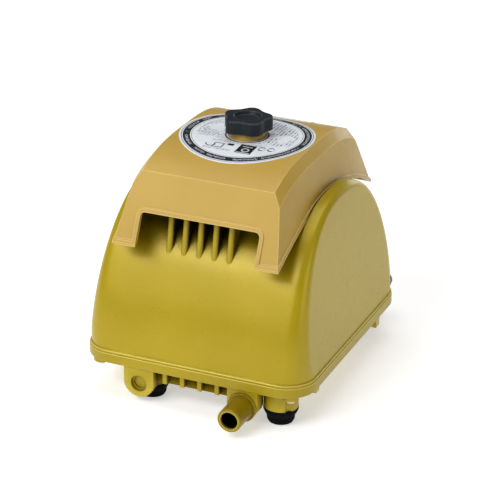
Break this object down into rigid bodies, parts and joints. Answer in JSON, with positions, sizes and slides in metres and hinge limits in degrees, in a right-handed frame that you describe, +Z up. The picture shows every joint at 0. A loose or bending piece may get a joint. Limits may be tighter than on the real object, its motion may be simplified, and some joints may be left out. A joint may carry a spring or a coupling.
{
  "type": "linear diaphragm air pump",
  "caption": "Pond air pump: arched housing on a shallow base with rubber feet, lift-off filter cover held by a star knob, hose nozzle in front and a linear diaphragm drive inside.",
  "frame": {"origin": "on the floor under the feet, straight below the axis of the knob, which is the middle of the pump's footprint with nozzle and gland", "axes": "+Z up, +X to the right seen from the outlet side, +Y to the rear; the outlet nozzle points along -Y"},
  "size_m": [0.201, 0.279, 0.2213],
  "materials": {
    "dome_paint": "satin olive-gold powder paint with a metallic fleck",
    "base_paint": "satin olive-gold powder paint, slightly darker underneath",
    "nozzle_paint": "satin olive-gold paint, rubbed at the mouth",
    "cover_plastic": "fine-grained tan-gold moulded plastic",
    "label_film": "printed film: white ring, black band, grey marks",
    "knob_plastic": "black moulded plastic, light sheen",
    "black_rubber": "matte black rubber",
    "gasket_rubber": "matte black rubber",
    "black_plastic": "black moulded plastic",
    "brass": "machined",
    "zinc_steel": "zinc plated",
    "frame_steel": "zinc plated sheet",
    "rod_steel": "ground bar",
    "core_steel": "stacked laminations, varnished",
    "winding": "enamelled copper wire, varnished",
    "bobbin_plastic": "natural nylon",
    "carrier_plastic": "glass-filled nylon",
    "magnet": "sintered ferrite",
    "head_plastic": "glass-filled plastic",
    "diaphragm_rubber": "reinforced rubber",
    "tank_plastic": "black polypropylene",
    "filter_foam": "open-cell foam",
    "terminal_plastic": "natural nylon"
  },
  "bodies": {
    "pump_body": {"air_sleeve_left": "black_rubber", "air_sleeve_right": "black_rubber", "air_tank": "tank_plastic", "base_housing": "base_paint", "cable_gland": "black_plastic", "coil_bobbin_front": "bobbin_plastic", "coil_bobbin_rear": "bobbin_plastic", "coil_winding_front": "winding", "coil_winding_rear": "winding", "cover_stud": "zinc_steel", "diaphragm_left": "diaphragm_rubber", "diaphragm_right": "diaphragm_rubber", "drive_frame": "frame_steel", "filter_pad": "filter_foam", "flap_clips_left": "zinc_steel", "flap_clips_right": "zinc_steel", "foot_front_left": "black_rubber", "foot_front_right": "black_rubber", "foot_rear_left": "black_rubber", "foot_rear_right": "black_rubber", "foot_screws": "zinc_steel", "head_cover_left": "head_plastic", "head_cover_right": "head_plastic", "head_nuts": "zinc_steel", "head_screws": "zinc_steel", "housing_gasket": "gasket_rubber", "housing_screws": "zinc_steel", "mount_screws": "zinc_steel", "outlet_nozzle": "nozzle_paint", "pump_head_left": "head_plastic", "pump_head_right": "head_plastic", "rubber_mounts": "black_rubber", "stator_bolts": "zinc_steel", "stator_core_front": "core_steel", "stator_core_rear": "core_steel", "stud_nut": "zinc_steel", "tank_gasket": "gasket_rubber", "tank_lid": "tank_plastic", "tank_screws": "zinc_steel", "terminal_block": "terminal_plastic", "terminal_screws": "zinc_steel", "upper_housing": "dome_paint"},
    "cover": {"filter_cover": "cover_plastic", "cover_label": "label_film", "rear_label": "label_film"},
    "knob_carrier": {"knob_washer": "zinc_steel"},
    "knob": {"star_knob": "knob_plastic", "knob_insert": "brass"},
    "armature": {"armature_rod": "rod_steel", "magnet_carrier": "carrier_plastic", "magnets": "magnet", "rod_nuts": "zinc_steel", "diaphragm_plates_left": "frame_steel", "diaphragm_plates_right": "frame_steel"},
    "inlet_valve_left": {"inlet_flap_left": "diaphragm_rubber"},
    "inlet_valve_right": {"inlet_flap_right": "diaphragm_rubber"},
    "outlet_valve_left": {"outlet_flap_left": "diaphragm_rubber"},
    "outlet_valve_right": {"outlet_flap_right": "diaphragm_rubber"}
  },
  "joints": [
    {"name": "cover_lift", "type": "slide", "parent": "pump_body", "child": "cover", "axis": [0, 0, 1], "range_m": [0, 0.06]},
    {"name": "knob_rise", "type": "slide", "parent": "cover", "child": "knob_carrier", "axis": [0, 0, 1], "range_m": [0, 0.0076]},
    {"name": "knob_turn", "type": "hinge", "parent": "knob_carrier", "child": "knob", "pos_m": [0, 0, 0.216], "axis": [0, 0, 1], "range_deg": [0, 2160]},
    {"name": "armature_slide", "type": "slide", "parent": "pump_body", "child": "armature", "axis": [1, 0, 0], "range_m": [-0.003, 0.003], "stiffness_N_per_m": 3000, "deforming": ["diaphragm_left", "diaphragm_right"]},
    {"name": "inlet_flap_left_hinge", "type": "hinge", "parent": "pump_body", "child": "inlet_valve_left", "pos_m": [-0.05995, 0, 0.123], "axis": [0, -1, 0], "range_deg": [0, 15], "stiffness_Nm_per_rad": 0.002},
    {"name": "inlet_flap_right_hinge", "type": "hinge", "parent": "pump_body", "child": "inlet_valve_right", "pos_m": [0.05995, 0, 0.123], "axis": [0, 1, 0], "range_deg": [0, 15], "stiffness_Nm_per_rad": 0.002},
    {"name": "outlet_flap_left_hinge", "type": "hinge", "parent": "pump_body", "child": "outlet_valve_left", "pos_m": [-0.06305, 0, 0.095], "axis": [0, 1, 0], "range_deg": [0, 25], "stiffness_Nm_per_rad": 0.002},
    {"name": "outlet_flap_right_hinge", "type": "hinge", "parent": "pump_body", "child": "outlet_valve_right", "pos_m": [0.06305, 0, 0.095], "axis": [0, -1, 0], "range_deg": [0, 25], "stiffness_Nm_per_rad": 0.002}
  ],
  "couplings": [
    {"joint": "knob_rise", "follows": "knob_turn", "m_per_rad": 0.00019894}
  ]
}
